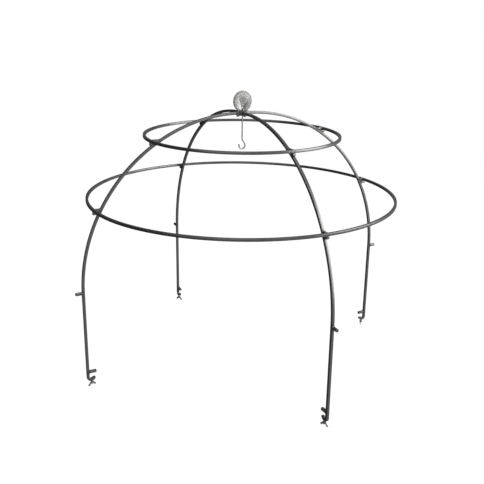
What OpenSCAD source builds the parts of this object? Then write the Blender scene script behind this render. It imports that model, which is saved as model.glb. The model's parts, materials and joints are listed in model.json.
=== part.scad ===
// Hanging dome for a round fire plate: four bent legs of square bar meet in a hub, two loose rings
// rest on pegs outside the legs, a hook hangs from an upright medallion, and each foot clamps the
// plate's rim with a wing screw. Millimetres, +Z up. The origin is on the dome's axis, at the
// height of the lowest points, the tips of the wings.

/* [Fire plate] */
// Diameter of the round plate that the feet clamp
plate_d = 1000; // [900:10:1100]
// Room between the plate's rim and each leg
rim_gap = 4; // [2:0.5:7]

/* [Bars] */
// Width of the square bar of legs, rings, rests, stops and prongs
bar_w = 8; // [7.8:0.05:8.1]
// Diameter of the round free pegs
peg_d = 9.6; // [9:0.1:9.8]

/* [Dome] */
// Straight height of a leg above its foot bend
straight_h = 281; // [240:1:320]
// Distance from the axis to the centre of a leg's arc
arc_offset = 22; // [20:1:24]
// Reach of the free pegs outwards from the leg's middle
peg_reach = 22.8; // [18:0.1:30]

/* [Rings] */
// Radius of the lower ring, to the middle of its bar
lower_ring_r = 465; // [460:1:470]
// Height of the lower ring above the foot
lower_ring_h = 521; // [516:1:526]
// Radius of the upper ring, to the middle of its bar
upper_ring_r = 291.3; // [288:0.5:295]
// Height of the upper ring above the foot
upper_ring_h = 703; // [699:1:706]

/* [Foot] */
// Height of the upper prong's middle above the foot
prong_h = 29.5; // [27:0.5:32]
// Reach of the prong inwards from the leg's middle
prong_reach = 25.7; // [22:0.1:30]
// Height of the upturned tip above the foot
tip_h = 11.5; // [11.5:0.5:14]
// Reach of the upturned tip inwards from the leg's middle
tip_reach = 18; // [17:0.5:20]
// Reach of the wing screw inwards from the leg's middle
screw_reach = 11; // [10.5:0.5:12]

/* [Medallion] */
// Diameter of the round medallion
medallion_d = 62; // [56:1:66]
// Thickness of the medallion
medallion_t = 3; // [2:0.5:4]

/* [Hook] */
// Diameter of the hook's wire
wire_d = 4; // [3.5:0.1:4.2]
// Radius of the hook's bowl, to the middle of the wire
bowl_r = 10.3; // [9:0.1:12]
// Height of the bowl's middle above the foot
bowl_h = 670; // [660:1:676]

/* [Hidden] */
$fn = 48;
RING_FN = 180;
SIDES = ["right", "back", "left", "front"];
SIDE_PARTS = [
    "leg", "lower_rest", "lower_stop", "upper_rest", "upper_stop", "free_peg", "prong",
    "screw_thread", "screw_wings"
];

steel = [0.33, 0.33, 0.33];
bright_steel = [0.62, 0.61, 0.60];
zinc = [0.45, 0.45, 0.44];

bar_half = bar_w / 2;
peg_r = peg_d / 2;
// Size of the weld round a free peg's root
weld_t = 1.2;
// Clearance between a loose ring and what it rests on or against
ring_gap = 0.3;

// Foot: the wings hang below the foot bend, so the bend's underside is raised
foot_z = 16;
leg_r = plate_d / 2 + rim_gap + bar_half;
heel_r = 8;
toe_r = 7;
run_z = foot_z + bar_half;
heel_z = run_z + heel_r;
toe_x = leg_r - tip_reach;
prong_z = foot_z + prong_h;
screw_x = leg_r - screw_reach;

// Leg arc, from the straight part to the hub
arc_z = foot_z + straight_h;
arc_r = leg_r - arc_offset;
hub_z = arc_z + arc_r;

// Hub: a round core with four square sleeves
core_r = 10.5;
core_half = 7.5;
sleeve_half = 5.8;
sleeve_end = 22;
bore_r = 7.5;
socket_end = 9;
socket_w = bar_w + 0.1;
leg_end = socket_end + 0.3;
hub_top = hub_z + core_half;

// Set screws under the sleeves
set_x = 15;
set_r = 2.5;
set_gap = 0.02;
set_head_r = 4;
set_head_h = 4;
set_head_drop = 0.4;
set_key_r = 2;
set_key_h = 2.4;

// Medallion: stands in a slot across the hub, on a flat cut on its edge
foot_half = 12;
slot_half = 15;
slot_z = hub_top - 1.5;
slot_room = 0.05;
medallion_r = medallion_d / 2;
medallion_z = slot_z + sqrt(pow(medallion_r, 2) - pow(foot_half, 2));
eye_r = 3.5;
eye_z = slot_z + 2 * eye_r;
groove_w = 0.8;
groove_deep = 0.5;
petal_r = 10;
petal_z = medallion_z + 3;
border_r = 27.5;

// Hook: an upper loop through the medallion's eye, a shank on the axis and a bowl
wire_r = wire_d / 2;
loop_r = 4.5;
loop_tail = 3;
// The loop's middle hangs this far under the eye's lowest point, so that its inside clears the eye's edges
loop_drop = 1.7;
loop_z = eye_z - eye_r - loop_drop;
// The neck swings from the loop's front to the axis in two equal bends
swan_h = 11;
swan_r = (pow(swan_h, 2) + pow(loop_r, 2)) / (4 * loop_r);
swan_turn = asin(swan_h / (2 * swan_r));
bowl_z = foot_z + bowl_h;
// The shank ends in a kink above the bowl's middle
kink_turn = 35;
kink_top = 19.2;
kink_h = bowl_r / sin(kink_turn);
kink_len = kink_top - kink_h;
kink_r = kink_len / tan(kink_turn / 2);
bowl_end = 155;
// Where wire meets wire at an odd angle, a ball closes a gap a little shorter than itself
joint_proud = 0.02;
joint_gap = 0.1;
joint_turn = 1;

// Wing screws, M5
screw_r = 2.5;
thread_r = 2.45;
thread_top = foot_z + 10.5;
thread_low = 8;
head_top = foot_z - 4;
head_r = 5.2;
head_low = 6.8;
wing_t = 2.2;
wing_tip_r = 2.8;
wing_reach = 10.2;
// Turn of each wing screw where it came to rest, for right, back, left and front
wing_turn = [49, 27, 18, 19];

// Puts a foot, peg or leg drawn along +X on the side with number i
module on_side(i) {
    rotate([0, 0, 90 * i]) children();
}

// Part of a round bar bent in the XZ plane about (x, z), from angle a0, turning by a
module bent_bar(x, z, radius, a0, a, section_r) {
    translate([x, 0, z]) rotate([90, 0, 0]) rotate([0, 0, a0])
        rotate_extrude(angle = a) translate([radius, 0]) circle(r = section_r, $fn = 32);
}

// Straight round bar from one point of the XZ plane to another
module straight_bar(x0, z0, x1, z1, section_r) {
    translate([x0, 0, z0]) rotate([0, atan2(x1 - x0, z1 - z0), 0])
        cylinder(r = section_r, h = norm([x1 - x0, z1 - z0]), $fn = 32);
}

// Part of the square bar, bent in the XZ plane as bent_bar() bends a round one
module square_bend(x, z, radius, a0, a) {
    translate([x, 0, z]) rotate([90, 0, 0]) rotate([0, 0, a0])
        rotate_extrude(angle = a, $fn = 4 * RING_FN) translate([radius, 0]) square(bar_w, center = true);
}

// Level or upright stretch of the square bar from one point of the XZ plane to another
module square_run(x0, z0, x1, z1) {
    size = x0 == x1 ? [bar_w, bar_w, abs(z1 - z0)] : [abs(x1 - x0), bar_w, bar_w];
    translate([(x0 + x1) / 2, 0, (z0 + z1) / 2]) cube(size, center = true);
}

// One bent leg: hub end, arc, upright and the foot bend with its upturned tip
module leg() {
    color(steel) difference() {
        union() {
            square_run(leg_end, hub_z, arc_offset, hub_z);
            square_bend(arc_offset, arc_z, arc_r, 0, 90);
            square_run(leg_r, heel_z, leg_r, arc_z);
            square_bend(leg_r - heel_r, heel_z, heel_r, 0, -90);
            square_run(toe_x + toe_r, run_z, leg_r - heel_r, run_z);
            square_bend(toe_x + toe_r, run_z + toe_r, toe_r, 180, 90);
            square_run(toe_x, run_z + toe_r, toe_x, foot_z + tip_h);
        }
        translate([screw_x, 0, foot_z - 1]) cylinder(r = screw_r, h = tip_h + 2);
    }
}

// Radius of a leg's centreline at height z
function leg_at(z) = arc_offset + sqrt(pow(arc_r, 2) - pow(z - arc_z, 2));

// Short square bar welded on a leg's arc, cut to its curve, out to radius x1
module stub(z, x1) {
    color(steel) difference() {
        square_run(leg_at(z), z, x1, z);
        translate([arc_offset, 0, arc_z]) rotate([90, 0, 0])
            cylinder(r = arc_r + bar_half, h = bar_w + 2, center = true, $fn = 4 * RING_FN);
    }
}

// Peg that a ring of radius r at height h rests on
module ring_rest(r, h) {
    stub(foot_z + h - bar_w - ring_gap, r + bar_half);
}

// Stop inside the ring, which keeps it centred
module ring_stop(r, h) {
    stub(foot_z + h, r - bar_half - 2 * ring_gap);
}

// Round free peg at the top of the upright, for hanging tools or a wider ring, with its weld as a collar
module free_peg() {
    root = leg_r + bar_half;
    color(steel) {
        straight_bar(root, arc_z, leg_r + peg_reach, arc_z, peg_r);
        straight_bar(root, arc_z, root + weld_t, arc_z, peg_r + weld_t);
    }
}

// Upper jaw of the clamp, above the plate's rim
module prong() {
    color(steel) square_run(leg_r - bar_half, prong_z, leg_r - prong_reach, prong_z);
}

module ring(r, h) {
    color(steel) translate([0, 0, foot_z + h])
        rotate_extrude($fn = 2 * RING_FN) translate([r, 0]) square(bar_w, center = true);
}

module upper_ring() {
    ring(upper_ring_r, upper_ring_h);
}

module lower_ring() {
    ring(lower_ring_r, lower_ring_h);
}

// Cast hub with sockets for the legs, a bore for the hook and tapped holes from below
module hub() {
    color(steel) difference() {
        union() {
            translate([0, 0, hub_z - core_half]) cylinder(r = core_r, h = 2 * core_half);
            for (i = [0:1]) on_side(i) translate([-sleeve_end, -sleeve_half, hub_z - sleeve_half])
                cube([2 * sleeve_end, 2 * sleeve_half, 2 * sleeve_half]);
        }
        translate([0, 0, hub_z - 2 * core_half]) cylinder(r = bore_r, h = 4 * core_half);
        for (i = [0:3]) on_side(i) {
            translate([socket_end, -socket_w / 2, hub_z - socket_w / 2]) cube([sleeve_end, socket_w, socket_w]);
            translate([set_x, 0, hub_z - 2 * core_half]) cylinder(r = set_r, h = 2 * core_half);
        }
        translate([-slot_half, -medallion_t / 2 - slot_room, slot_z])
            cube([2 * slot_half, medallion_t + 2 * slot_room, core_half]);
    }
}

// One cap screw that presses on a leg's end from below
module set_screw() {
    head_z = hub_z - sleeve_half - set_head_drop - set_head_h;
    difference() {
        union() {
            translate([set_x, 0, head_z]) cylinder(r = set_head_r, h = set_head_h);
            translate([set_x, 0, head_z])
                cylinder(r = set_r - set_gap, h = hub_z - bar_half - set_gap - head_z);
        }
        translate([set_x, 0, head_z - 1]) cylinder(r = set_key_r, h = set_key_h + 1, $fn = 6);
    }
}

module hub_screws() {
    color(zinc) for (i = [0:3]) on_side(i) set_screw();
}

// Round groove in both faces of the medallion, about a point in its plane
module face_groove(x, z, r) {
    for (side = [-1, 1])
        translate([x, side * medallion_t / 2, z]) rotate([90, 0, 0]) difference() {
            cylinder(r = r + groove_w / 2, h = 2 * groove_deep, center = true);
            cylinder(r = r - groove_w / 2, h = 3 * groove_deep, center = true);
        }
}

// Upright medallion with the hook's eye and a plain rosette of six circles
module medallion() {
    color(bright_steel) difference() {
        translate([0, 0, medallion_z]) rotate([90, 0, 0])
            cylinder(r = medallion_r, h = medallion_t, center = true, $fn = 96);
        translate([-medallion_r, -medallion_t, slot_z - medallion_r])
            cube([2 * medallion_r, 2 * medallion_t, medallion_r]);
        translate([0, 0, eye_z]) rotate([90, 0, 0])
            cylinder(r = eye_r, h = 2 * medallion_t, center = true);
        face_groove(0, medallion_z, border_r);
        for (i = [0:5])
            face_groove(petal_r / 2 * cos(60 * i), petal_z + petal_r / 2 * sin(60 * i), petal_r / 2);
    }
}

// Ball that fuses two stretches of wire, which stop just short of each other
module wire_joint(x, z) {
    translate([x, 0, z]) sphere(r = wire_r + joint_proud);
}

// Upper end of the hook, about the middle of its loop, in the YZ plane
module hook_neck() {
    rotate([0, 0, 90]) {
        straight_bar(loop_r, -loop_tail, loop_r, 0, wire_r);
        bent_bar(0, 0, loop_r, 0, 180, wire_r);
        bent_bar(swan_r - loop_r, 0, swan_r, 180, swan_turn - joint_turn, wire_r);
        wire_joint(-loop_r / 2, -swan_h / 2);
        bent_bar(-swan_r, -swan_h, swan_r, 0, swan_turn - joint_turn, wire_r);
    }
}

// Lower end of the hook, about the middle of its bowl, in the XZ plane
module hook_bowl() {
    slant = [sin(kink_turn), -cos(kink_turn)];
    slant_top = [0, kink_h] + kink_len * slant;
    slant_low = bowl_r * [cos(kink_turn), sin(kink_turn)];
    bent_bar(kink_r, kink_top, kink_r, 180, kink_turn - joint_turn, wire_r);
    wire_joint(slant_top.x, slant_top.y);
    straight_bar(
        slant_top.x + joint_gap * slant.x, slant_top.y + joint_gap * slant.y,
        slant_low.x - joint_gap * slant.x, slant_low.y - joint_gap * slant.y, wire_r
    );
    wire_joint(slant_low.x, slant_low.y);
    bent_bar(0, 0, bowl_r, kink_turn - joint_turn, bowl_end - kink_turn - 360 + joint_turn, wire_r);
}

// Wire hook: neck, straight shank and bowl
module hook() {
    color(bright_steel) {
        translate([0, 0, loop_z]) hook_neck();
        translate([0, 0, bowl_z]) hook_bowl();
        straight_bar(0, bowl_z + kink_top, 0, loop_z - swan_h, wire_r);
    }
}

// Threaded shank of a wing screw, up through the foot
module screw_thread() {
    color(zinc) translate([screw_x, 0, thread_low]) cylinder(r = thread_r, h = thread_top - thread_low);
}

// Outline of one wing, to the right of the screw's axis
module wing_outline() {
    polygon([
        [screw_r + 0.3, head_top - 0.4], [head_r, head_top - 0.4],
        [wing_reach + wing_tip_r * cos(20), wing_tip_r + wing_tip_r * sin(20)],
        [wing_reach - wing_tip_r * cos(35), wing_tip_r - wing_tip_r * sin(35)],
        [head_r - 0.6, head_low + 0.2], [screw_r + 0.3, head_low + 0.2]
    ]);
    translate([wing_reach, wing_tip_r]) circle(r = wing_tip_r);
}

// Head of a wing screw, with two wings spread downwards
module screw_wings(turn) {
    color(zinc) translate([screw_x, 0, 0]) rotate([0, 0, turn]) difference() {
        union() {
            translate([0, 0, head_low]) cylinder(r = head_r, h = head_top - head_low);
            for (side = [0, 180])
                rotate([90, 0, side]) linear_extrude(height = wing_t, center = true) wing_outline();
        }
        translate([0, 0, thread_low - 0.1]) cylinder(r = screw_r, h = head_top);
    }
}

hub();
hub_screws();
medallion();
hook();
upper_ring();
lower_ring();
for (i = [0:3]) {
    s = SIDES[i];
    on_side(i) leg();
    on_side(i) ring_rest(lower_ring_r, lower_ring_h);
    on_side(i) ring_stop(lower_ring_r, lower_ring_h);
    on_side(i) ring_rest(upper_ring_r, upper_ring_h);
    on_side(i) ring_stop(upper_ring_r, upper_ring_h);
    on_side(i) free_peg();
    on_side(i) prong();
    on_side(i) screw_thread();
    on_side(i) screw_wings(wing_turn[i]);
}
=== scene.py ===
"""Hanging dome for a round fire plate: legs of drawn steel bar, loose rings, hub, medallion and hook.

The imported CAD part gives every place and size. This script replaces its plain bars with bars that are
bent, welded and rounded at their edges like the real ones, and gives each its steel.
"""

import json
import math

import bmesh
import bpy
from mathutils import Matrix, Vector


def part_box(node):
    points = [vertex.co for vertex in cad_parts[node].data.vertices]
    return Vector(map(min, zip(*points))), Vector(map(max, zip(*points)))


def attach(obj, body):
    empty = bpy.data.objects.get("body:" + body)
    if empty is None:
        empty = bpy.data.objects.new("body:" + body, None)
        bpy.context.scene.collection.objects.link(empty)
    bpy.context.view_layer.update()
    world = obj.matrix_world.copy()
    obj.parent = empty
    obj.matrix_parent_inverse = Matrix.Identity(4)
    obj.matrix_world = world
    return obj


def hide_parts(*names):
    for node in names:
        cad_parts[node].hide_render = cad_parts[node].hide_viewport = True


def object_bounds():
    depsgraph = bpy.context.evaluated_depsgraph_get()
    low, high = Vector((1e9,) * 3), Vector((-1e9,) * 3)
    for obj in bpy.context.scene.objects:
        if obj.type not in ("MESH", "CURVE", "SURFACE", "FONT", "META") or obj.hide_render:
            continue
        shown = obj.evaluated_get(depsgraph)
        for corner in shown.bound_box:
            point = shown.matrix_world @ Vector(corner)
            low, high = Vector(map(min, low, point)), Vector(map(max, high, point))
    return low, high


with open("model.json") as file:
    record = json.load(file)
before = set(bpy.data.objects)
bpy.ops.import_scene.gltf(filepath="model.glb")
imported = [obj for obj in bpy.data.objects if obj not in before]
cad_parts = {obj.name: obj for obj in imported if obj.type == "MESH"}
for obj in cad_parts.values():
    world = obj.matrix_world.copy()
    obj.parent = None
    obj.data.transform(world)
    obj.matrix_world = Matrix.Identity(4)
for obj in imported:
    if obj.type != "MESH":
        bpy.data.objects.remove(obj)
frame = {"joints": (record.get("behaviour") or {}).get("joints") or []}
cad_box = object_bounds()

MM = 0.001
SIDES = ("right", "back", "left", "front")


def middle(node):
    low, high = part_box(node)
    return (low + high) / 2


def joint_point(name):
    return Vector(next(j["pos_m"] for j in frame["joints"] if j["name"] == name))


# Sizes and places, read from the CAD part where its boxes give them

LEG_LOW, LEG_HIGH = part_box("right_leg")
BAR_HALF = (LEG_HIGH.y - LEG_LOW.y) / 2
FOOT_Z = LEG_LOW.z
HUB_Z = LEG_HIGH.z - BAR_HALF
LEG_X = LEG_HIGH.x - BAR_HALF
LEG_END_X = LEG_LOW.x
PEG_R = 4.8 * MM
ARC_Z = middle("right_free_peg").z
ARC_R = HUB_Z - ARC_Z
ARC_X = LEG_X - ARC_R

HEEL_R = 8 * MM
TOE_R = 7 * MM
TOE_REACH = 18 * MM
TOE_RISE = 0.5 * MM
SCREW_X = joint_point("right_screw_turn").x
SCREW_R = 2.5 * MM
WING_TURN = {"right": 49, "back": 27, "left": 18, "front": 19}

SLEEVE_HALF = 5.8 * MM
SLEEVE_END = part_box("hub")[1].x
CORE_R = 10.5 * MM
HUB_BORE_R = 7.5 * MM
SOCKET_END = 9 * MM
SOCKET_W = 2 * BAR_HALF + 0.1 * MM
SET_SCREW_X = 15 * MM
SLOT_HALF = 15 * MM
SLOT_ROOM = 0.05 * MM
SLEEVE_EDGE_R = 1.2 * MM
CORE_EDGE_R = 0.8 * MM

EYE_R = 3.5 * MM
WIRE_R = 2 * MM
LOOP_R = 4.5 * MM
# How much wider than the wire its skin is laid out
WIRE_WRAP = 1.5

ROUND_SIDES = 32
# How far a cutter goes past what it cuts
PAST = 2 * MM
SHARP = math.radians(35)


# Making pieces


def pick(*pieces):
    """Leaves only these pieces selected, with the first one active."""
    bpy.ops.object.select_all(action="DESELECT")
    for piece in pieces:
        piece.select_set(True)
    bpy.context.view_layer.objects.active = pieces[0]


def settle(name):
    """Names the new primitive and puts its place into its mesh."""
    piece = bpy.context.object
    piece.name = name
    piece.data.name = name
    bpy.ops.object.transform_apply(location=True, rotation=True, scale=True)
    return piece


def cylinder(name, radius, start, end, sides=ROUND_SIDES):
    """A closed cylinder from one point to another."""
    start, end = Vector(start), Vector(end)
    way = end - start
    turn = way.to_track_quat("Z", "Y").to_euler()
    bpy.ops.object.select_all(action="DESELECT")
    bpy.ops.mesh.primitive_cylinder_add(
        vertices=sides, radius=radius, depth=way.length, location=(start + end) / 2, rotation=turn
    )
    return settle(name)


def torus(name, centre, turn, major, minor, rounds, sides):
    bpy.ops.object.select_all(action="DESELECT")
    bpy.ops.mesh.primitive_torus_add(
        location=centre, rotation=turn, major_radius=major, minor_radius=minor,
        major_segments=rounds, minor_segments=sides,
    )
    return settle(name)


def block(name, low, high):
    """A box between two corners."""
    bpy.ops.object.select_all(action="DESELECT")
    bpy.ops.mesh.primitive_cube_add(size=1)
    piece = settle(name)
    low, high = Vector(low), Vector(high)
    for vertex in piece.data.vertices:
        vertex.co = (low + high) / 2 + vertex.co * (high - low)
    return piece


def round_edges(piece, width, segments, chosen):
    """Bevels the piece's sharp edges whose middle is one that chosen() takes."""
    pick(piece)
    bpy.ops.object.mode_set(mode="EDIT")
    bpy.ops.mesh.select_mode(type="EDGE")
    bpy.ops.mesh.select_all(action="DESELECT")
    shape = bmesh.from_edit_mesh(piece.data)
    for edge in shape.edges:
        sharp = len(edge.link_faces) == 2 and edge.calc_face_angle() > SHARP
        if sharp and chosen((edge.verts[0].co + edge.verts[1].co) / 2):
            edge.select_set(True)
    bmesh.update_edit_mesh(piece.data)
    bpy.ops.mesh.bevel(offset=width, segments=segments, affect="EDGES", clamp_overlap=True)
    bpy.ops.object.mode_set(mode="OBJECT")
    return piece


def combine(piece, tool, operation, solver="EXACT"):
    """Cuts a tool out of a piece, or joins it on."""
    pick(piece)
    modifier = piece.modifiers.new(operation.lower(), "BOOLEAN")
    modifier.operation = operation
    modifier.object = tool
    modifier.solver = solver
    bpy.ops.object.modifier_apply(modifier=modifier.name)
    bpy.data.objects.remove(tool)
    return piece


def finish_mesh(piece, smooth_below=35):
    """Merges doubles, turns the faces outwards and smooths all but the sharp edges."""
    pick(piece)
    bpy.ops.object.mode_set(mode="EDIT")
    bpy.ops.mesh.select_all(action="SELECT")
    bpy.ops.mesh.remove_doubles(threshold=0.002 * MM)
    bpy.ops.mesh.normals_make_consistent(inside=False)
    bpy.ops.object.mode_set(mode="OBJECT")
    bpy.ops.object.shade_smooth_by_angle(angle=math.radians(smooth_below))
    return piece


def round_section(radius, start, heading):
    """The round end of a wire that starts at a point and heads at an angle above +X."""
    bpy.ops.object.select_all(action="DESELECT")
    bpy.ops.mesh.primitive_circle_add(
        vertices=24, radius=radius, fill_type="NGON", location=start, rotation=(0, math.pi / 2 - heading, 0)
    )
    return settle("section")


def square_section(half, start, heading, corner):
    """The square end of a bar, with rounded corners, that starts at a point and heads above +X."""
    bpy.ops.object.select_all(action="DESELECT")
    bpy.ops.mesh.primitive_plane_add(size=2 * half, location=start, rotation=(0, math.pi / 2 - heading, 0))
    section = settle("section")
    bpy.ops.object.mode_set(mode="EDIT")
    bpy.ops.mesh.select_all(action="SELECT")
    bpy.ops.mesh.bevel(offset=corner, segments=3, affect="VERTICES")
    bpy.ops.object.mode_set(mode="OBJECT")
    return section


def bend_bar(name, section, start, heading, moves):
    """A bar in the XZ plane, made as it is bent: its end section starts at a point, heads at an angle
    above +X, and goes on by straight runs ("run", length, steps) and bends ("bend", bend radius, angle,
    steps). A positive angle bends it to its left. Returns the piece and the points of its centreline."""
    pick(section)
    section.name = name
    bpy.ops.object.mode_set(mode="EDIT")
    bpy.ops.mesh.select_all(action="SELECT")
    here = Vector(start)
    line = [here.copy()]
    for kind, size, *rest in moves:
        if kind == "run":
            step = Vector((math.cos(heading), 0, math.sin(heading))) * size / rest[0]
            for _ in range(rest[0]):
                bpy.ops.mesh.extrude_region_move(TRANSFORM_OT_translate={"value": step})
                here = here + step
                line.append(here.copy())
            continue
        angle, steps = rest
        left = Vector((-math.sin(heading), 0, math.cos(heading))) * math.copysign(size, angle)
        centre = here + left
        bpy.ops.mesh.spin(steps=steps, angle=angle, center=centre, axis=(0, 1, 0))
        for _ in range(steps):
            here = centre + Matrix.Rotation(-angle / steps, 3, "Y") @ (here - centre)
            line.append(here.copy())
        heading += angle
    bpy.ops.object.mode_set(mode="OBJECT")
    return section, line


def lengths_along(line):
    """How far each point of a line lies from its start."""
    lengths = [0.0]
    for a, b in zip(line, line[1:]):
        lengths.append(lengths[-1] + (b - a).length)
    return lengths


def unroll(piece, line):
    """Lays the bar's skin out flat in its UV map, in metres: U runs along the bar and V round it."""
    lengths = lengths_along(line)
    uv = (piece.data.uv_layers.active or piece.data.uv_layers.new(name="UVMap")).data
    spots = []
    for vertex in piece.data.vertices:
        near = min(range(len(line)), key=lambda i: (line[i] - vertex.co).length_squared)
        before, after = line[max(near - 1, 0)], line[min(near + 1, len(line) - 1)]
        way = (after - before).normalized()
        off = vertex.co - line[near]
        side = math.atan2(off.y, off.dot(way.cross(Vector((0, 1, 0)))))
        spots.append((lengths[near] + off.dot(way), side))
    for face in piece.data.polygons:
        turns = [spots[piece.data.loops[i].vertex_index][1] for i in face.loop_indices]
        wraps = max(turns) - min(turns) > math.pi
        for i, turn in zip(face.loop_indices, turns):
            turn += 2 * math.pi if wraps and turn < 0 else 0
            uv[i].uv = (spots[piece.data.loops[i].vertex_index][0], turn * BAR_HALF)
    return piece


def heat(piece, points, core, fade):
    """Records how far the weld's heat reached: 1 within core of a point, falling off over fade."""
    layer = piece.data.attributes.new("weld_heat", "FLOAT", "POINT")
    for vertex in piece.data.vertices:
        gap = min((vertex.co - point).length for point in points) - core
        layer.data[vertex.index].value = math.exp(-max(gap, 0) / fade)
    return piece


def put_on_sides(piece, ending, bodies, slot, material, node_endings=(), own_turns=None):
    """Copies a right-hand piece to all four sides, each with its own mesh, body and CAD node.
    own_turns gives the angle in degrees by which each side's copy is first turned about its screw."""
    to_screw = Matrix.Translation((-SCREW_X, 0, 0))
    for number, side in enumerate(SIDES):
        copy = bpy.data.objects.new(f"{side}_{ending}", piece.data.copy())
        bpy.context.scene.collection.objects.link(copy)
        copy.data.name = copy.name
        if own_turns:
            own_turn = Matrix.Rotation(math.radians(own_turns[side]), 4, "Z")
            copy.data.transform(to_screw.inverted() @ own_turn @ to_screw)
        copy.data.transform(Matrix.Rotation(math.pi / 2 * number, 4, "Z"))
        deliver(copy, bodies.format(side=side), slot, material, *[f"{side}_{n}" for n in node_endings])
    bpy.data.objects.remove(piece)


def deliver(piece, body, slot, material, *nodes):
    """Gives a finished piece its material, its body and the CAD nodes that it stands for. The slot argument
    is not used.
    """
    piece.data.materials.clear()
    piece.data.materials.append(material)
    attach(piece, body)
    if nodes:
        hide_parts(*nodes)
    return piece


# Shader groups


def new_group(name, inputs, outputs):
    """An empty node group. inputs and outputs are (name, kind, default) and (name, kind)."""
    group = bpy.data.node_groups.new(name, "ShaderNodeTree")
    for label, kind, default in inputs:
        socket = group.interface.new_socket(label, in_out="INPUT", socket_type=kind)
        if default is not None:
            socket.default_value = default
    for label, kind in outputs:
        group.interface.new_socket(label, in_out="OUTPUT", socket_type=kind)
    return group, Bench(group)


class Bench:
    """Adds and wires nodes in one tree."""

    def __init__(self, tree):
        self.tree = tree

    def node(self, kind, values=(), **settings):
        made = self.tree.nodes.new(kind)
        for key, value in settings.items():
            setattr(made, key, value)
        for socket, value in dict(values).items():
            self.feed(made.inputs[socket], value)
        return made

    def feed(self, socket, value):
        if isinstance(value, bpy.types.NodeSocket):
            self.tree.links.new(value, socket)
        else:
            socket.default_value = value

    def math(self, operation, first, second=0.0):
        return self.node("ShaderNodeMath", {0: first, 1: second}, operation=operation).outputs[0]

    def spread(self, value, low, high, to_low=0.0, to_high=1.0):
        """Maps low..high onto to_low..to_high, and clamps it."""
        settings = {"Value": value, "From Min": low, "From Max": high, "To Min": to_low, "To Max": to_high}
        return self.node("ShaderNodeMapRange", settings).outputs[0]

    def noise(self, place, scale, detail=3.0, roughness=0.5):
        settings = {"Vector": place, "Scale": scale, "Detail": detail, "Roughness": roughness}
        return self.node("ShaderNodeTexNoise", settings).outputs["Fac"]

    def stretch(self, place, scale):
        return self.node("ShaderNodeMapping", {"Vector": place, "Scale": scale}).outputs[0]

    def mix(self, share, first, second, how="MIX"):
        made = self.node("ShaderNodeMix", data_type="RGBA", blend_type=how)
        self.feed(made.inputs["Factor"], share)
        self.feed(made.inputs["A"], first)
        self.feed(made.inputs["B"], second)
        return made.outputs["Result"]


def grey(value, warmth=0.0):
    return (value * (1 + warmth), value, value * (1 - warmth), 1)


def build_steel_group():
    """Oiled mill steel: streaks along a stretched place, soft blotches and fine pits."""
    group, bench = new_group(
        "mill_steel",
        [
            ("Streak Place", "NodeSocketVector", None), ("Place", "NodeSocketVector", None),
            ("Dark", "NodeSocketColor", grey(0.2)), ("Light", "NodeSocketColor", grey(0.3)),
            ("Smooth", "NodeSocketFloat", 0.25), ("Rough", "NodeSocketFloat", 0.4),
            ("Streaks", "NodeSocketFloat", 0.5), ("Blotch Scale", "NodeSocketFloat", 22.0),
        ],
        [
            ("Color", "NodeSocketColor"), ("Roughness", "NodeSocketFloat"), ("Height", "NodeSocketFloat"),
        ],
    )
    source = bench.node("NodeGroupInput").outputs
    streak = bench.noise(source["Streak Place"], 1.0, 4.0, 0.6)
    blotch = bench.noise(source["Place"], source["Blotch Scale"], 5.0, 0.55)
    pits = bench.noise(source["Place"], 1500.0, 2.0, 0.5)
    drawn = bench.math("MULTIPLY", bench.spread(streak, 0.3, 0.7), source["Streaks"])
    cloud = bench.spread(blotch, 0.3, 0.7)
    shade = bench.math("MULTIPLY", bench.math("ADD", cloud, drawn), 0.6)
    colour = bench.mix(shade, source["Dark"], source["Light"])
    rough_share = bench.spread(bench.math("ADD", blotch, bench.math("MULTIPLY", streak, 0.6)), 0.55, 1.0)
    spread = bench.math("SUBTRACT", source["Rough"], source["Smooth"])
    rough = bench.math("ADD", source["Smooth"], bench.math("MULTIPLY", rough_share, spread))
    height = bench.math("ADD", bench.math("MULTIPLY", streak, 0.7), bench.math("MULTIPLY", pits, 0.3))
    bench.node("NodeGroupOutput", {"Color": colour, "Roughness": rough, "Height": height})
    return group


def build_heat_group():
    """Colours that a weld's heat leaves in steel: straw, brown, blue and last a grey scale."""
    group, bench = new_group(
        "weld_heat_tint",
        [("Color", "NodeSocketColor", grey(0.25)), ("Roughness", "NodeSocketFloat", 0.3)],
        [("Color", "NodeSocketColor"), ("Roughness", "NodeSocketFloat")],
    )
    source = bench.node("NodeGroupInput").outputs
    reach = bench.node("ShaderNodeAttribute", attribute_name="weld_heat").outputs["Fac"]
    place = bench.node("ShaderNodeTexCoord").outputs["Object"]
    wander = bench.math("MULTIPLY", bench.math("SUBTRACT", bench.noise(place, 160.0, 3.0), 0.5), 0.25)
    level = bench.math("ADD", reach, bench.math("MULTIPLY", wander, bench.spread(reach, 0.02, 0.3)))
    ramp = bench.node("ShaderNodeValToRGB", {"Fac": level})
    stops = ramp.color_ramp.elements
    stops[0].position, stops[0].color = 0.0, (1, 1, 1, 1)
    stops[1].position, stops[1].color = 1.0, (0.42, 0.42, 0.43, 1)
    for position, colour in (
        (0.12, (1.0, 0.99, 0.96, 1)), (0.3, (0.90, 0.82, 0.72, 1)), (0.5, (0.68, 0.63, 0.66, 1)),
        (0.68, (0.58, 0.61, 0.67, 1)), (0.85, (0.52, 0.53, 0.55, 1)),
    ):
        stops.new(position).color = colour
    tinted = bench.mix(1.0, source["Color"], ramp.outputs["Color"], "MULTIPLY")
    rough = bench.math("ADD", source["Roughness"], bench.spread(level, 0.5, 1.0, 0.0, 0.2))
    bench.node("NodeGroupOutput", {"Color": tinted, "Roughness": rough})
    return group


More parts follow.
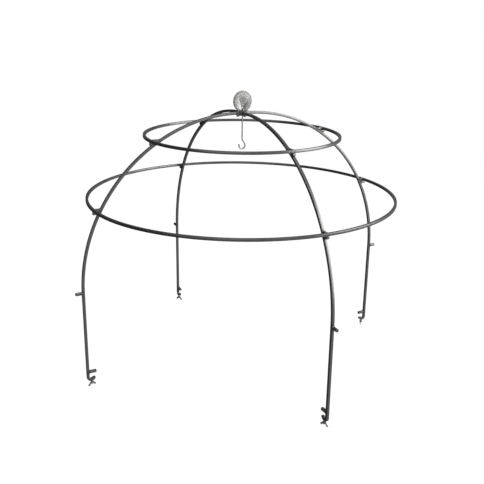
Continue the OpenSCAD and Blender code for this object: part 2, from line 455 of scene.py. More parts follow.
def build_wear_and_shade_group():
    """Edges rubbed bright, and painted shade that darkens the hollow corners, from how far the mesh bulges.
    """
    group, bench = new_group(
        "edge_wear_and_painted_shade",
        [
            ("Color", "NodeSocketColor", grey(0.25)), ("Bright", "NodeSocketColor", grey(0.6)),
            ("Dirt", "NodeSocketColor", grey(0.05)), ("Amount", "NodeSocketFloat", 0.6),
        ],
        [("Color", "NodeSocketColor")],
    )
    source = bench.node("NodeGroupInput").outputs
    bulge = bench.node("ShaderNodeNewGeometry").outputs["Pointiness"]
    place = bench.node("ShaderNodeTexCoord").outputs["Object"]
    patchy = bench.spread(bench.noise(place, 260.0, 4.0), 0.35, 0.65)
    rubbed = bench.math("MULTIPLY", patchy, source["Amount"])
    edge = bench.math("MULTIPLY", bench.spread(bulge, 0.505, 0.56), rubbed)
    # Painted shade: where the mesh bulges inwards, the colour is darkened evenly towards the shade colour
    corner = bench.math("MULTIPLY", bench.spread(bulge, 0.49, 0.43), source["Amount"])
    shaded = bench.mix(corner, source["Color"], source["Dirt"])
    worn_and_shaded = bench.mix(edge, shaded, source["Bright"])
    bench.node("NodeGroupOutput", {"Color": worn_and_shaded})
    return group


STEEL = build_steel_group()
HEAT_TINT = build_heat_group()
WEAR_AND_SHADE = build_wear_and_shade_group()


# Materials


class Finish(Bench):
    """A material with a Principled shader and a bump, to which a finish wires its own groups."""

    def __init__(self, name, bump=0.1, bump_depth=0.05 * MM):
        self.material = bpy.data.materials.new(name)
        self.material.use_nodes = True
        super().__init__(self.material.node_tree)
        self.shader = self.tree.nodes["Principled BSDF"]
        self.shader.inputs["Metallic"].default_value = 1.0
        self.bump = self.node("ShaderNodeBump", {"Strength": bump, "Distance": bump_depth})
        self.tree.links.new(self.bump.outputs[0], self.shader.inputs["Normal"])
        place = self.node("ShaderNodeTexCoord")
        self.place = place.outputs["Object"]
        self.uv = place.outputs["UV"]

    def group(self, tree, **values):
        made = self.node("ShaderNodeGroup", node_tree=tree)
        for label, value in values.items():
            self.feed(made.inputs[label.replace("_", " ")], value)
        return made.outputs

    def wire(self, colour, rough, height):
        self.feed(self.shader.inputs["Base Color"], colour)
        self.feed(self.shader.inputs["Roughness"], rough)
        self.feed(self.bump.inputs["Height"], height)
        return self.material


def bar_steel(name, dark, light, smooth, rough):
    """Cold drawn bar: streaks along its length, in the bar's own UV map, and heat tint at the welds."""
    finish = Finish(name, bump=0.05)
    along = finish.stretch(finish.uv, (28.0, 2600.0, 1.0))
    steel = finish.group(
        STEEL, Streak_Place=along, Place=finish.place, Dark=dark, Light=light,
        Smooth=smooth, Rough=rough, Streaks=0.7, Blotch_Scale=16.0,
    )
    tint = finish.group(HEAT_TINT, Color=steel["Color"], Roughness=steel["Roughness"])
    return finish.wire(tint["Color"], tint["Roughness"], steel["Height"])


def peg_steel():
    """Sawn bar ends: streaks across the end, rubbed edges and strong heat tint."""
    finish = Finish("peg_steel", bump=0.15)
    along = finish.stretch(finish.place, (500.0, 500.0, 2200.0))
    steel = finish.group(
        STEEL, Streak_Place=along, Place=finish.place, Dark=grey(0.15), Light=grey(0.27),
        Smooth=0.28, Rough=0.48, Streaks=0.8, Blotch_Scale=90.0,
    )
    tint = finish.group(HEAT_TINT, Color=steel["Color"], Roughness=steel["Roughness"])
    # Rubbed bright edges, and painted shade in dark grey in the hollow corners
    worn_and_shaded = finish.group(WEAR_AND_SHADE, Color=tint["Color"], Bright=grey(0.5), Dirt=grey(0.06), Amount=0.7)
    return finish.wire(worn_and_shaded["Color"], tint["Roughness"], steel["Height"])


def weld_steel():
    """Weld metal: blue-grey, with a rough scale in the ripples."""
    finish = Finish("weld_metal", bump=0.5, bump_depth=0.08 * MM)
    ripple = finish.stretch(finish.place, (900.0, 900.0, 900.0))
    steel = finish.group(
        STEEL, Streak_Place=ripple, Place=finish.place,
        Dark=(0.10, 0.105, 0.12, 1), Light=(0.24, 0.235, 0.23, 1),
        Smooth=0.3, Rough=0.6, Streaks=0.8, Blotch_Scale=420.0,
    )
    # Rubbed bright ripple crests, and painted shade in near black in the ripple hollows
    worn_and_shaded = finish.group(WEAR_AND_SHADE, Color=steel["Color"], Bright=grey(0.4), Dirt=grey(0.03), Amount=0.8)
    return finish.wire(worn_and_shaded["Color"], steel["Roughness"], steel["Height"])


def hub_metal():
    """Turned and oiled hub: fine lathe marks, bright edges and painted shade in its corners."""
    finish = Finish("hub_steel", bump=0.15)
    lathe = finish.stretch(finish.place, (1500.0, 1500.0, 180.0))
    steel = finish.group(
        STEEL, Streak_Place=lathe, Place=finish.place, Dark=grey(0.14), Light=grey(0.26),
        Smooth=0.27, Rough=0.42, Streaks=0.7, Blotch_Scale=120.0,
    )
    # Rubbed bright edges, and painted shade in near black in the hollow corners
    worn_and_shaded = finish.group(WEAR_AND_SHADE, Color=steel["Color"], Bright=grey(0.5), Dirt=grey(0.04), Amount=0.8)
    return finish.wire(worn_and_shaded["Color"], steel["Roughness"], steel["Height"])


def medallion_metal():
    """Laser-cut plate, brushed level, with engraved lines that painted shade darkens in their hollows."""
    finish = Finish("medallion_steel", bump=0.2)
    brushed = finish.stretch(finish.place, (60.0, 60.0, 3200.0))
    steel = finish.group(
        STEEL, Streak_Place=brushed, Place=finish.place, Dark=grey(0.25, 0.01), Light=grey(0.35, 0.01),
        Smooth=0.3, Rough=0.45, Streaks=0.9, Blotch_Scale=70.0,
    )
    # Rubbed bright edges, and painted shade in near black in the grooves and other hollows
    worn_and_shaded = finish.group(WEAR_AND_SHADE, Color=steel["Color"], Bright=grey(0.8), Dirt=grey(0.05), Amount=0.9)
    return finish.wire(worn_and_shaded["Color"], steel["Roughness"], steel["Height"])


def hook_metal():
    """Bright drawn wire."""
    finish = Finish("hook_wire", bump=0.1)
    along = finish.stretch(finish.uv, (60.0, 3600.0, 1.0))
    steel = finish.group(
        STEEL, Streak_Place=along, Place=finish.place, Dark=grey(0.36, 0.01), Light=grey(0.56, 0.01),
        Smooth=0.2, Rough=0.34, Streaks=0.7, Blotch_Scale=110.0,
    )
    return finish.wire(steel["Color"], steel["Roughness"], steel["Height"])


def zinc_metal():
    """Zinc plate: dull, slightly blue, in small crystals, worn at the wings' edges."""
    finish = Finish("zinc_plate", bump=0.2)
    crystal = finish.node("ShaderNodeTexVoronoi", {"Vector": finish.place, "Scale": 900.0}).outputs["Color"]
    steel = finish.group(
        STEEL, Streak_Place=finish.stretch(crystal, (3.0, 3.0, 3.0)), Place=finish.place,
        Dark=(0.24, 0.245, 0.25, 1), Light=(0.46, 0.465, 0.47, 1), Smooth=0.32, Rough=0.5,
        Streaks=0.8, Blotch_Scale=240.0,
    )
    # Worn bright edges, and painted shade in near black in the hollow corners
    worn_and_shaded = finish.group(WEAR_AND_SHADE, Color=steel["Color"], Bright=grey(0.68), Dirt=grey(0.05), Amount=0.7)
    return finish.wire(worn_and_shaded["Color"], steel["Roughness"], steel["Height"])


LEG_STEEL = bar_steel("leg_bar_steel", grey(0.25), grey(0.33), 0.26, 0.34)
RING_STEEL = bar_steel("ring_bar_steel", grey(0.26), grey(0.34), 0.24, 0.32)
PEG_STEEL = peg_steel()
WELD_STEEL = weld_steel()
HUB_STEEL = hub_metal()
MEDALLION_STEEL = medallion_metal()
HOOK_STEEL = hook_metal()
ZINC = zinc_metal()


# Legs

EDGE_R = 0.6 * MM
NEAR = 0.1 * MM
# A short bar's long edges are rounded where their middle is at least this far from its root
LONG_EDGE = 4 * MM
# How far the welds' heat fades out in a short bar, a leg and a ring
STUB_HEAT, LEG_HEAT, RING_HEAT = 3 * MM, 4 * MM, 6 * MM
ARC_STEPS, UPRIGHT_STEPS, FOOT_STEPS = 110, 30, 12

# Short bars on each leg, and the face of the leg that they stand on: 1 is the outer one, -1 the inner
STUBS = {
    "upper_rest": 1, "upper_stop": 1, "lower_rest": 1, "lower_stop": 1, "free_peg": 1, "prong": -1,
}


def leg_face(z, outward):
    """X of the right leg's outer (1) or inner (-1) face at a height."""
    if z <= ARC_Z:
        return LEG_X + outward * BAR_HALF
    return ARC_X + math.sqrt((ARC_R + outward * BAR_HALF) ** 2 - (z - ARC_Z) ** 2)


def bent_leg():
    """The right leg before drilling, bent from its hub end down to its upturned toe."""
    quarter = -math.pi / 2
    start = (LEG_END_X, 0, HUB_Z)
    return bend_bar(
        "leg", square_section(BAR_HALF, start, 0, EDGE_R), start, 0,
        [
            ("run", ARC_X - LEG_END_X, 1), ("bend", ARC_R, quarter, ARC_STEPS),
            ("run", ARC_Z - FOOT_Z - BAR_HALF - HEEL_R, UPRIGHT_STEPS),
            ("bend", HEEL_R, quarter, FOOT_STEPS), ("run", TOE_REACH - TOE_R - HEEL_R, 1),
            ("bend", TOE_R, quarter, FOOT_STEPS), ("run", TOE_RISE, 1),
        ],
    )


def stub_root(ending):
    """The point on the right leg's face that a short bar's middle springs from."""
    height = middle(f"right_{ending}").z
    return Vector((leg_face(height, STUBS[ending]), 0, height))


def make_stub(ending):
    """A short bar with a filed end, whose root lies on the leg's face."""
    outward = STUBS[ending]
    root = stub_root(ending)
    low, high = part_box(f"right_{ending}")
    end_x = high.x if outward > 0 else low.x
    if ending == "free_peg":
        stub = cylinder(ending, PEG_R, (root.x, 0, root.z), (end_x, 0, root.z))
    else:
        near_x, far_x = sorted((root.x, end_x))
        stub = block(ending, (near_x, -BAR_HALF, low.z), (far_x, BAR_HALF, high.z))
    for vertex in stub.data.vertices:
        if abs(vertex.co.x - root.x) < NEAR:
            vertex.co.x = leg_face(vertex.co.z, outward)
    round_edges(stub, EDGE_R, 3, lambda at: abs(at.x - end_x) < NEAR or abs(at.x - root.x) > LONG_EDGE)
    finish_mesh(stub)
    return heat(stub, [root], BAR_HALF, STUB_HEAT)


WELD_R = 1.2 * MM
# How squarely the weld follows a square bar's root
WELD_CORNERS = 6


def squared(turn, corners):
    """How far a round of radius 1 reaches at an angle once it is swollen towards a square."""
    return 1 / (abs(math.cos(turn)) ** corners + abs(math.sin(turn)) ** corners) ** (1 / corners)


def make_weld(ending):
    """The fillet round a short bar's root, with ripples, laid on the leg's face."""
    root = stub_root(ending)
    weld = torus(f"{ending}_weld", (0, 0, root.z), (0, math.pi / 2, 0), PEG_R, WELD_R, 96, 12)
    square = ending != "free_peg"
    for vertex in weld.data.vertices:
        around = math.atan2(vertex.co.z - root.z, vertex.co.y)
        seam = Vector((0, math.cos(around), math.sin(around))) * PEG_R
        bead = vertex.co - Vector((0, 0, root.z)) - seam
        if square:
            seam *= BAR_HALF * squared(around, WELD_CORNERS) / PEG_R
        ripple = 1 + 0.10 * math.sin(15 * around) + 0.05 * math.sin(5 * around + 1)
        spot = seam + bead * ripple
        vertex.co = Vector((spot.x, spot.y, root.z + spot.z))
        vertex.co.x += leg_face(root.z + seam.z, STUBS[ending])
    return finish_mesh(weld, 60)


def make_legs():
    leg, line = bent_leg()
    round_edges(leg, EDGE_R, 3, lambda at: at.x < LEG_END_X + 1 * MM)
    toe_top = FOOT_Z + BAR_HALF + TOE_R + TOE_RISE
    round_edges(leg, EDGE_R, 3, lambda at: abs(at.z - toe_top) < NEAR and at.x < SCREW_X)
    hole_low, hole_high = FOOT_Z - BAR_HALF, toe_top + BAR_HALF
    hole = cylinder("hole", SCREW_R, (SCREW_X, 0, hole_low), (SCREW_X, 0, hole_high), 40)
    combine(leg, hole, "DIFFERENCE")
    finish_mesh(leg)
    unroll(leg, line)
    heat(leg, [stub_root(ending) for ending in STUBS], BAR_HALF, LEG_HEAT)
    put_on_sides(leg, "leg_bar", "frame", "leg_bar", LEG_STEEL, ["leg"])
    for ending in STUBS:
        put_on_sides(make_stub(ending), f"{ending}_bar", "frame", "peg_bar", PEG_STEEL, [ending])
        put_on_sides(make_weld(ending), f"{ending}_weld", "frame", "peg_bar", WELD_STEEL)


# Rings

RING_ROUNDS = 288
# Where the butt weld lies, and its bead: thickness, sink into the bar, squareness and ripple
SEAM_TURN = math.radians(135)
BUTT_R = 0.9 * MM
BUTT_SINK = 0.12
BUTT_CORNERS = 8
BUTT_RIPPLE = 0.02


def make_ring(node):
    """A loose ring, rolled from square bar and welded shut where its ends meet."""
    low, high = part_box(node)
    centre_z = (low.z + high.z) / 2
    reach = high.x - BAR_HALF
    start = Vector((reach, 0, centre_z))
    ring = square_section(BAR_HALF, start, math.pi / 2, EDGE_R)
    ring.name = f"{node}_bar"
    tip_over = Matrix.Translation(start) @ Matrix.Rotation(math.pi / 2, 4, "X") @ Matrix.Translation(-start)
    ring.data.transform(Matrix.Rotation(SEAM_TURN, 4, "Z") @ tip_over)
    pick(ring)
    bpy.ops.object.mode_set(mode="EDIT")
    bpy.ops.mesh.select_all(action="SELECT")
    bpy.ops.mesh.delete(type="ONLY_FACE")
    bpy.ops.mesh.select_all(action="SELECT")
    bpy.ops.mesh.spin(steps=RING_ROUNDS, angle=2 * math.pi, center=(0, 0, centre_z), axis=(0, 0, 1))
    bpy.ops.object.mode_set(mode="OBJECT")
    finish_mesh(ring)
    uv = ring.data.uv_layers.new(name="UVMap").data
    for face in ring.data.polygons:
        corners = [ring.data.vertices[ring.data.loops[i].vertex_index].co for i in face.loop_indices]
        along = [math.atan2(c.y, c.x) % (2 * math.pi) for c in corners]
        round_it = [math.atan2(c.z - centre_z, c.to_2d().length - reach) for c in corners]
        for turns in (along, round_it):
            if max(turns) - min(turns) > math.pi:
                turns[:] = [t + 2 * math.pi if t < max(turns) - math.pi else t for t in turns]
        for i, a, b in zip(face.loop_indices, along, round_it):
            uv[i].uv = (a * reach, b * BAR_HALF)
    out = Vector((math.cos(SEAM_TURN), math.sin(SEAM_TURN), 0))
    seam = out * reach + Vector((0, 0, centre_z))
    heat(ring, [seam], BAR_HALF, RING_HEAT)
    deliver(ring, node, "ring_bar", RING_STEEL, node)
    bead = torus(f"{node}_butt_weld", seam, (math.pi / 2, 0, SEAM_TURN), BAR_HALF, BUTT_R, 64, 10)
    for vertex in bead.data.vertices:
        off = vertex.co - seam
        around = math.atan2(off.z, off.dot(out))
        reach_there = squared(around, BUTT_CORNERS) - BUTT_SINK
        vertex.co = seam + off * (reach_there * (1 + BUTT_RIPPLE * math.sin(12 * around)))
    finish_mesh(bead, 60)
    deliver(bead, node, "ring_bar", WELD_STEEL)


# Hub


def make_hub():
    core_low, core_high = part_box("hub")[0].z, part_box("hub")[1].z
    hub = cylinder("hub_body", CORE_R, (0, 0, core_low), (0, 0, core_high), 96)
    round_edges(hub, CORE_EDGE_R, 3, lambda at: True)
    to_hub = Matrix.Translation((0, 0, HUB_Z))
    for number in (0, 1):
        corner = Vector((SLEEVE_END, SLEEVE_HALF, SLEEVE_HALF))
        sleeve = block("sleeve", -corner, corner)
        round_edges(sleeve, SLEEVE_EDGE_R, 3, lambda at: True)
        sleeve.data.transform(to_hub @ Matrix.Rotation(math.pi / 2 * number, 4, "Z"))
        combine(hub, sleeve, "UNION")
    bore = cylinder("bore", HUB_BORE_R, (0, 0, core_low - PAST), (0, 0, core_high + PAST), 64)
    combine(hub, bore, "DIFFERENCE")
    for number in range(4):
        turn = Matrix.Rotation(math.pi / 2 * number, 4, "Z")
        half = SOCKET_W / 2
        socket = block("socket", (SOCKET_END, -half, -half), (SLEEVE_END + PAST, half, half))
        socket.data.transform(to_hub @ turn)
        combine(hub, socket, "DIFFERENCE")
        foot = turn @ Vector((SET_SCREW_X, 0, HUB_Z))
        drill = cylinder("drill", SCREW_R, foot - Vector((0, 0, 2 * SLEEVE_HALF)), foot, 32)
        combine(hub, drill, "DIFFERENCE")
    plate_low, plate_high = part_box("medallion")
    slot_y = plate_high.y + SLOT_ROOM
    slot_top = plate_low.z + SLEEVE_HALF
    slot = block("slot", (-SLOT_HALF, -slot_y, plate_low.z), (SLOT_HALF, slot_y, slot_top))
    combine(hub, slot, "DIFFERENCE")
    finish_mesh(hub)
    deliver(hub, "frame", "hub_steel", HUB_STEEL, "hub")


SET_HEAD_R = 4 * MM
SET_HEAD_H = 4 * MM
SET_KEY_R = 2 * MM
SET_KEY_DEEP = 2.4 * MM
SET_SHANK_R = SCREW_R - 0.02 * MM
# The knurl: one tooth in so many degrees, and how far the gaps are pressed in
KNURL_STEP = 5
KNURL_PRESS = 0.965


def make_set_screws():
    """Knurled socket-head screws, one under each sleeve."""
    head_low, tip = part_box("hub_screws")[0].z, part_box("hub_screws")[1].z
    head_high = head_low + SET_HEAD_H
    head = cylinder("set_screw", SET_HEAD_R, (SET_SCREW_X, 0, head_low), (SET_SCREW_X, 0, head_high), 72)
    round_edges(head, 0.35 * MM, 2, lambda at: True)
    for vertex in head.data.vertices:
        off = Vector((vertex.co.x - SET_SCREW_X, vertex.co.y))
        tooth = round(math.degrees(math.atan2(off.y, off.x)) / KNURL_STEP) % 2
        if tooth and off.length > SET_HEAD_R - NEAR:
            off *= KNURL_PRESS
            vertex.co.x, vertex.co.y = SET_SCREW_X + off.x, off.y
    key_top = head_low + SET_KEY_DEEP
    key = cylinder("key", SET_KEY_R, (SET_SCREW_X, 0, head_low - MM), (SET_SCREW_X, 0, key_top), 6)
    combine(head, key, "DIFFERENCE")
    shank_low = head_low + 3 * MM
    shank = cylinder("shank", SET_SHANK_R, (SET_SCREW_X, 0, shank_low), (SET_SCREW_X, 0, tip))
    combine(head, shank, "UNION")
    finish_mesh(head)
    made = []
    for number in range(4):
        copy = bpy.data.objects.new("set_screw_copy", head.data.copy())
        bpy.context.scene.collection.objects.link(copy)
        copy.data.transform(Matrix.Rotation(math.pi / 2 * number, 4, "Z"))
        made.append(copy)
    bpy.data.objects.remove(head)
    pick(*made)
    bpy.ops.object.join()
    made[0].name = "hub_set_screws"
    deliver(made[0], "frame", "zinc_screw", ZINC, "hub_screws")


# Medallion

PLATE_FOOT_HALF = 12 * MM
BORDER_R = 27.5 * MM
PETAL_R = 4.6 * MM
PETAL_REACH = 5 * MM
PETAL_LIFT = 3 * MM
GROOVE_R = 0.45 * MM
# The weld beads at the medallion's foot: thickness, and distance from its face and above its foot
TACK_R = 1.0 * MM
TACK_OFF = 0.2 * MM
TACK_RISE = 1.3 * MM


def make_medallion():
    """Round plate with rolled edges, the hook's eye, a border line and a rosette of six circles."""
    low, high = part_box("medallion")
    radius = (high.x - low.x) / 2
    centre = Vector((0, 0, high.z - radius))
    half = high.y
    to_face = Vector((0, half, 0))
    plate = cylinder("medallion_plate", radius, centre - to_face, centre + to_face, 160)
    round_edges(plate, 0.5 * MM, 3, lambda at: True)
    pick(plate)
    bpy.ops.object.mode_set(mode="EDIT")
    bpy.ops.mesh.select_all(action="SELECT")
    bpy.ops.mesh.bisect(plane_co=(0, 0, low.z), plane_no=(0, 0, -1), use_fill=True, clear_outer=True)
    bpy.ops.object.mode_set(mode="OBJECT")
    eye_z = low.z + 2 * EYE_R
    eye = cylinder("eye", EYE_R, (0, -2 * half, eye_z), (0, 2 * half, eye_z), 48)
    combine(plate, eye, "DIFFERENCE", "MANIFOLD")
    round_edges(plate, 0.3 * MM, 2, lambda at: (at - Vector((0, at.y, eye_z))).length < EYE_R + NEAR)
    circles = [(centre, BORDER_R, 120)]
    for number in range(6):
        turn = math.pi / 3 * number
        off = Vector((math.cos(turn), 0, math.sin(turn))) * PETAL_REACH
        circles.append((centre + Vector((0, 0, PETAL_LIFT)) + off, PETAL_R, 56))
    for face in (-half, half):
        for at, size, rounds in circles:
            spot = at + Vector((0, face, 0))
            groove = torus("groove", spot, (math.pi / 2, 0, 0), size, GROOVE_R, rounds, 8)
            combine(plate, groove, "DIFFERENCE", "MANIFOLD")
    finish_mesh(plate)
    deliver(plate, "frame", "medallion_steel", MEDALLION_STEEL, "medallion")
    for face, face_name in ((-1, "front"), (1, "back")):
        for end, end_name in ((-1, "left"), (1, "right")):
            y, z = face * (half + TACK_OFF), low.z + TACK_RISE
            start, stop = (end * (HUB_BORE_R + 0.5 * MM), y, z), (end * PLATE_FOOT_HALF, y, z)
            lay_tack(cylinder("bead", TACK_R, start, stop, 12), f"medallion_tack_{face_name}_{end_name}")


def lay_tack(bead, name):
    """Rounds a short bead's ends and ripples it."""
    bead.name = name
    round_edges(bead, 0.6 * MM, 3, lambda at: True)
    pick(bead)
    bpy.ops.object.mode_set(mode="EDIT")
    bpy.ops.mesh.select_all(action="SELECT")
    bpy.ops.mesh.subdivide(number_cuts=3)
    bpy.ops.object.mode_set(mode="OBJECT")
    centre = sum((v.co for v in bead.data.vertices), Vector()) / len(bead.data.vertices)
    for vertex in bead.data.vertices:
        swell = 1 + 0.12 * math.sin(vertex.co.x / (0.25 * MM))
        vertex.co.y = centre.y + (vertex.co.y - centre.y) * swell
        vertex.co.z = centre.z + (vertex.co.z - centre.z) * swell
    finish_mesh(bead, 60)
    deliver(bead, "frame", "medallion_steel", WELD_STEEL)


# Hook


def make_hook():
    """Wire bent to a loop, a swan neck, a straight shank and an open bowl, with rounded ends."""
    low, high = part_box("hook")
    loop_z = high.z - WIRE_R - LOOP_R
    bowl_r = (high.x - low.x) / 2 - WIRE_R
    bowl_z = low.z + WIRE_R + bowl_r
    swan_h = 11 * MM
    swan_r = (swan_h**2 + LOOP_R**2) / (4 * LOOP_R)
    swan_turn = math.asin(swan_h / (2 * swan_r))
    kink = math.radians(35)
    kink_top = 19.2 * MM
    kink_len = kink_top - bowl_r / math.sin(kink)
    bowl_turn = math.radians(240)
    down = -math.pi / 2
    tail_len = 3 * MM
    tail = (LOOP_R, 0, loop_z - tail_len)
    neck, neck_line = bend_bar(
        "neck", round_section(WIRE_R, tail, math.pi / 2), tail, math.pi / 2,
        [
            ("run", tail_len, 2), ("bend", LOOP_R, math.pi, 24),
            ("bend", swan_r, swan_turn, 12), ("bend", swan_r, -swan_turn, 12),
        ],
    )
    neck.data.transform(Matrix.Rotation(math.pi / 2, 4, "Z"))
    shank_top = loop_z - swan_h
    shank_low = bowl_z + kink_top
    slant = bowl_r / math.tan(kink) - kink_len
    top = (0, 0, shank_top)
    shank, shank_line = bend_bar(
        "hook_bar", round_section(WIRE_R, top, down), top, down,
        [
            ("run", shank_top - shank_low, 24), ("bend", kink_len / math.tan(kink / 2), kink, 6),
            ("run", slant, 2), ("bend", bowl_r, -bowl_turn, 60),
        ],
    )
    for piece in (neck, shank):
        open_end(piece, shank_top)
    pick(shank, neck)
    bpy.ops.object.join()
    turned = [Matrix.Rotation(math.pi / 2, 3, "Z") @ point for point in neck_line]
    round_edges(shank, 1.1 * MM, 4, lambda at: True)
    finish_mesh(shank)
    unroll_wire(shank, turned + shank_line[1:])
    deliver(shank, "hook", "hook_wire", HOOK_STEEL, "hook")


def open_end(piece, height):
    """Takes out the end face that lies level at a height, so that two bars can be joined there."""
    shape = bmesh.new()
    shape.from_mesh(piece.data)
    ends = [f for f in shape.faces if len(f.verts) > 4 and abs(f.calc_center_median().z - height) < NEAR / 2]
    bmesh.ops.delete(shape, geom=ends, context="FACES_ONLY")
    shape.to_mesh(piece.data)
    shape.free()


def unroll_wire(piece, line):
    """As unroll(), for a wire that leaves the XZ plane: V grows across the wire, from side to side."""
    lengths = lengths_along(line)
    uv = (piece.data.uv_layers.active or piece.data.uv_layers.new(name="UVMap")).data
    for face in piece.data.polygons:
        for i in face.loop_indices:
            at = piece.data.vertices[piece.data.loops[i].vertex_index].co
            near = min(range(len(line)), key=lambda k: (line[k] - at).length_squared)
            off = at - line[near]
            uv[i].uv = (lengths[near], (off.x + off.y) * WIRE_WRAP)
    return piece


# Wing screws

THREAD_R = 2.45 * MM
PITCH = 0.8 * MM
THREAD_DEPTH = 0.42 * MM
WING_HEAD_R = 5.2 * MM
WING_THICK = 2.2 * MM
WING_TIP_R, WING_NECK_R = 2.8 * MM, 2.3 * MM
WING_TIP_X, WING_NECK_X = 10.2 * MM, 4.2 * MM
COLLAR_TAPER = 0.86
# Cuts along the rod, first between its ends and then between those cuts, and its ends' chamfer
THREAD_CUTS = (14, 11)
THREAD_CHAMFER = 0.6 * MM


def make_threads():
    """M5 threads: a rod in fine rows, pressed in along a helix, with chamfered ends."""
    low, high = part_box("right_screw_thread")
    rod = cylinder("thread", THREAD_R, (SCREW_X, 0, low.z), (SCREW_X, 0, high.z), 40)
    for cuts in THREAD_CUTS:
        pick(rod)
        bpy.ops.object.mode_set(mode="EDIT")
        bpy.ops.mesh.select_mode(type="EDGE")
        bpy.ops.mesh.select_all(action="DESELECT")
        shape = bmesh.from_edit_mesh(rod.data)
        for edge in shape.edges:
            edge.select_set(abs(edge.verts[0].co.z - edge.verts[1].co.z) > 0.01 * MM)
        bmesh.update_edit_mesh(rod.data)
        bpy.ops.mesh.subdivide(number_cuts=cuts)
        bpy.ops.object.mode_set(mode="OBJECT")
    for vertex in rod.data.vertices:
        off = Vector((vertex.co.x - SCREW_X, vertex.co.y))
        turn = math.atan2(off.y, off.x) / (2 * math.pi)
        phase = (vertex.co.z / PITCH - turn) % 1
        crest = min(max(1.25 - abs(phase - 0.5) * 4, 0), 1)
        radius = THREAD_R - THREAD_DEPTH * (1 - crest)
        end = min(high.z - vertex.co.z, vertex.co.z - low.z)
        radius = min(radius, THREAD_R - THREAD_CHAMFER + end)
        off *= radius / off.length
        vertex.co.x, vertex.co.y = SCREW_X + off.x, off.y
    finish_mesh(rod, 50)
    put_on_sides(rod, "thread_bar", "{side}_wings", "zinc_screw", ZINC, ["screw_thread"])


def make_wings():
    """Forged wing heads: a tapered collar with two leaves spread downwards."""
    low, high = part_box("right_screw_wings")
    head_low = low.z + 6.8 * MM
    collar = cylinder("wings", WING_HEAD_R, (SCREW_X, 0, head_low), (SCREW_X, 0, high.z), 48)
    for vertex in collar.data.vertices:
        if vertex.co.z > high.z - NEAR:
            vertex.co.x = SCREW_X + (vertex.co.x - SCREW_X) * COLLAR_TAPER
            vertex.co.y *= COLLAR_TAPER
    round_edges(collar, 0.5 * MM, 3, lambda at: True)
    tip, neck = (WING_TIP_X, low.z + WING_TIP_R), (WING_NECK_X, high.z - 2.4 * MM)
    for side in (0, math.pi):
        leaf = make_leaf(tip, neck)
        leaf.data.transform(Matrix.Translation((SCREW_X, 0, 0)) @ Matrix.Rotation(side, 4, "Z"))
        combine(collar, leaf, "UNION", "MANIFOLD")
    bore = cylinder("bore", SCREW_R, (SCREW_X, 0, head_low + 1.1 * MM), (SCREW_X, 0, high.z + PAST), 40)
    combine(collar, bore, "DIFFERENCE", "MANIFOLD")
    finish_mesh(collar)
    put_on_sides(collar, "wing_head", "{side}_wings", "zinc_screw", ZINC, ["screw_wings"], WING_TURN)


def make_leaf(tip, neck):
    """A flat leaf in the XZ plane, drawn tight round the round of its tip and the round of its neck."""
    half = WING_THICK / 2
    rounds = []
    for (x, z), radius in ((tip, WING_TIP_R), (neck, WING_NECK_R)):
        rounds.append(cylinder("leaf", radius, (x, -half, z), (x, half, z), 40))
    pick(*rounds)
    bpy.ops.object.join()
    bpy.ops.object.mode_set(mode="EDIT")
    bpy.ops.mesh.select_all(action="SELECT")
    bpy.ops.mesh.convex_hull(join_triangles=True)
    bpy.ops.mesh.select_all(action="SELECT")
    bpy.ops.mesh.dissolve_limited(angle_limit=math.radians(1))
    bpy.ops.object.mode_set(mode="OBJECT")
    return round_edges(rounds[0], 0.45 * MM, 2, lambda at: True)


# Studio

CAMERA_AZIMUTH = math.radians(241.77)
CAMERA_DISTANCE = 2.150
CAMERA_HEIGHT = 1.0809
CAMERA_PITCH = math.radians(-18.054)
CAMERA_YAW = math.radians(0.115)
CAMERA_ROLL = math.radians(0.859)
LENS = 53.54

# Name, azimuth from the camera in degrees, height, distance, width, height of the box and power in watts
SOFT_BOXES = (
    ("right_box", 80, 1.3, 2.6, 2.4, 2.4, 45),
    ("front_box", -20, 1.2, 3.4, 4.0, 2.6, 11),
    ("top_box", 20, 3.2, 0.6, 2.0, 2.0, 15),
)
BRIGHT_SIDE = 85


def make_camera():
    data = bpy.data.cameras.new("camera")
    data.lens = LENS
    data.sensor_width = 36
    camera = bpy.data.objects.new("camera", data)
    bpy.context.scene.collection.objects.link(camera)
    away = Vector((math.cos(CAMERA_AZIMUTH), math.sin(CAMERA_AZIMUTH), 0))
    facing = CAMERA_AZIMUTH + math.pi / 2 - CAMERA_YAW
    turn = Matrix.Rotation(facing, 4, "Z") @ Matrix.Rotation(math.pi / 2 + CAMERA_PITCH, 4, "X")
    camera.matrix_world = (
        Matrix.Translation(away * CAMERA_DISTANCE + Vector((0, 0, CAMERA_HEIGHT)))
        @ turn @ Matrix.Rotation(CAMERA_ROLL, 4, "Z")
    )
    bpy.context.scene.camera = camera


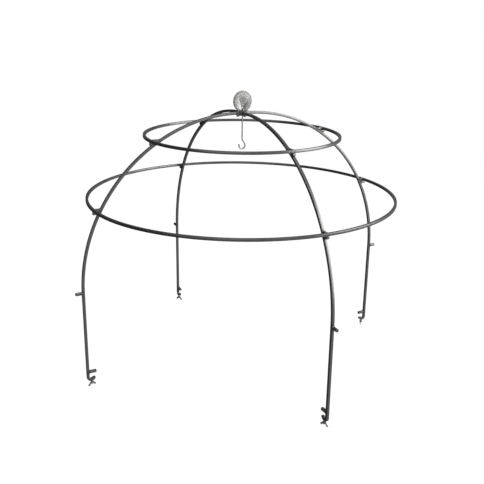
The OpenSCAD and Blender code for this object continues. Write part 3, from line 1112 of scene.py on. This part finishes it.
def soft_box(name, azimuth, height, distance, width, tall, power):
    """A square light that faces the dome. Azimuth is counted from the camera, to its right."""
    data = bpy.data.lights.new(name, "AREA")
    data.shape = "RECTANGLE"
    data.size, data.size_y = width, tall
    data.energy = power
    light = bpy.data.objects.new(name, data)
    bpy.context.scene.collection.objects.link(light)
    turn = CAMERA_AZIMUTH + math.radians(azimuth)
    light.location = (math.cos(turn) * distance, math.sin(turn) * distance, height)
    aim = Vector((0, 0, 0.45)) - light.location
    light.rotation_euler = aim.to_track_quat("-Z", "Y").to_euler()


def make_floor():
    """A wide pale floor, level with the wings' tips, that keeps out of the steel's reflections."""
    bpy.ops.object.select_all(action="DESELECT")
    bpy.ops.mesh.primitive_plane_add(size=40, location=(0, 0, cad_box[0][2]))
    floor = settle("floor")
    paper = bpy.data.materials.new("floor_white")
    paper.use_nodes = True
    shader = paper.node_tree.nodes["Principled BSDF"]
    shader.inputs["Base Color"].default_value = grey(0.2)
    shader.inputs["Emission Color"].default_value = grey(1.0)
    shader.inputs["Emission Strength"].default_value = 0.8
    shader.inputs["Roughness"].default_value = 0.9
    shader.inputs["Specular IOR Level"].default_value = 0.0
    floor.data.materials.append(paper)
    floor.visible_glossy = False


def make_world():
    """White behind the dome, and in its reflections a grey room, darker to the camera's left."""
    world = bpy.data.worlds.new("studio")
    bpy.context.scene.world = world
    world.use_nodes = True
    bench = Bench(world.node_tree)
    background = world.node_tree.nodes["Background"]
    way = bench.node("ShaderNodeTexCoord").outputs["Generated"]
    bright_side = Matrix.Rotation(CAMERA_AZIMUTH + math.radians(BRIGHT_SIDE), 3, "Z") @ Vector((1, 0, 0))
    product = bench.node("ShaderNodeVectorMath", {0: way, 1: bright_side}, operation="DOT_PRODUCT")
    across = product.outputs["Value"]
    room = bench.mix(bench.spread(across, -0.6, 0.8), grey(0.05), grey(0.33))
    mirrored = bench.node("ShaderNodeLightPath").outputs["Is Glossy Ray"]
    bench.feed(background.inputs["Color"], bench.mix(mirrored, grey(1.0), room))


make_camera()
make_legs()
make_ring("upper_ring")
make_ring("lower_ring")
make_hub()
make_set_screws()
make_medallion()
make_hook()
make_threads()
make_wings()
make_floor()
make_world()
for box in SOFT_BOXES:
    soft_box(*box)
bpy.context.scene.view_settings.view_transform = "Standard"
